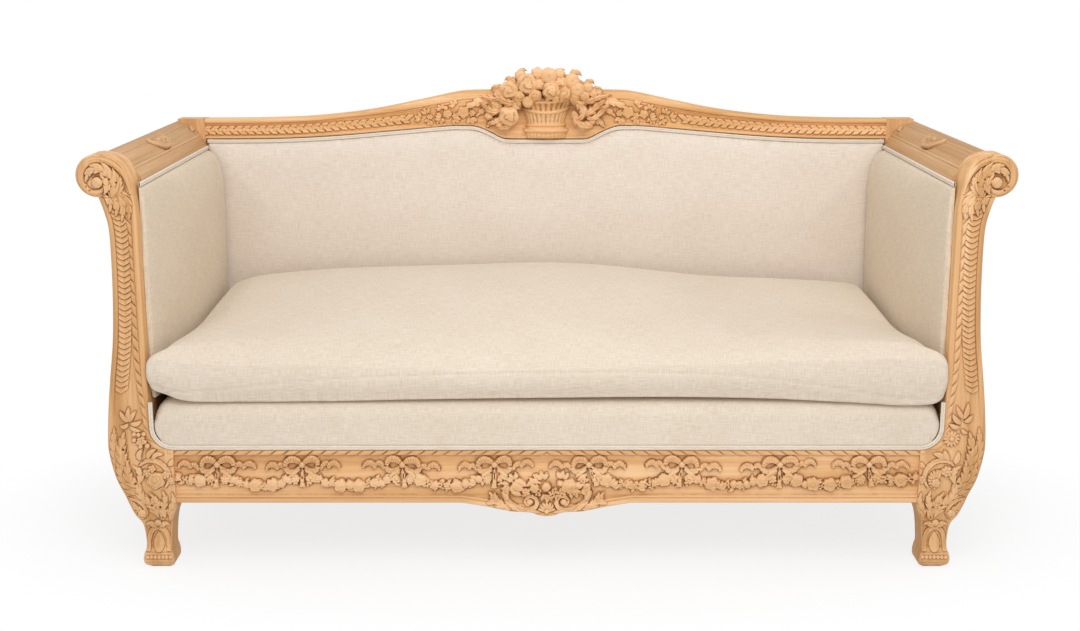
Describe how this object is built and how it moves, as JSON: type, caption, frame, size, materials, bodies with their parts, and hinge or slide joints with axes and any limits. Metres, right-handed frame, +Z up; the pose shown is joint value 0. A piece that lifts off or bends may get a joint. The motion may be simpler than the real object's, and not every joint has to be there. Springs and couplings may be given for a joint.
{
  "type": "carved settee",
  "caption": "Carved wooden settee with a camel-shaped back rail, basket crest, scrolled arm posts, linen upholstery and a loose seat cushion.",
  "frame": {"origin": "on the floor, at the middle of the overall width and depth", "axes": "+X towards the sitter's left arm as seen from the front on the right, -Y towards the front, +Z up"},
  "size_m": [1.75, 0.716, 0.9339],
  "materials": {
    "limewood": "waxed bare limewood, warm honey",
    "frame_wood": "raw sawn wood",
    "linen": "natural slub linen",
    "piping": "double piping of the same linen",
    "jute": "woven jute",
    "stuffing": "matted fibre",
    "feather_filling": "feathers in cambric",
    "spring_steel": "plain steel wire"
  },
  "bodies": {
    "frame": {"front_post_left": "limewood", "front_post_right": "limewood", "rear_post_left": "limewood", "rear_post_right": "limewood", "front_seat_rail": "limewood", "rear_seat_rail": "frame_wood", "side_seat_rail_left": "limewood", "side_seat_rail_right": "limewood", "cross_rail_left": "frame_wood", "cross_rail_right": "frame_wood", "corner_braces": "frame_wood", "brace_screws": "spring_steel", "joint_pegs": "frame_wood", "top_rail": "limewood", "crest_carving": "limewood", "back_lower_rail": "frame_wood", "back_strut_left": "frame_wood", "back_strut_right": "frame_wood", "arm_top_rail_left": "limewood", "arm_top_rail_right": "limewood", "arm_lower_rail_left": "frame_wood", "arm_lower_rail_right": "frame_wood", "arm_strut_left": "frame_wood", "arm_strut_right": "frame_wood", "arm_dowels": "frame_wood", "seat_webbing": "jute", "seat_springs": "spring_steel", "spring_hessian": "jute", "seat_stuffing": "stuffing", "seat_deck": "linen", "seat_piping": "piping", "back_pad": "linen", "back_piping": "piping", "outside_back_panel": "linen", "arm_pad_left": "linen", "arm_pad_right": "linen", "arm_piping_left": "piping", "arm_piping_right": "piping", "outside_arm_panel_left": "linen", "outside_arm_panel_right": "linen"},
    "cushion": {"cushion_cover": "linen", "cushion_filling": "feather_filling"}
  },
  "joints": [
    {"name": "cushion_lift", "type": "slide", "parent": "frame", "child": "cushion", "axis": [0, 0, 1], "range_m": [0, 0.62]}
  ]
}
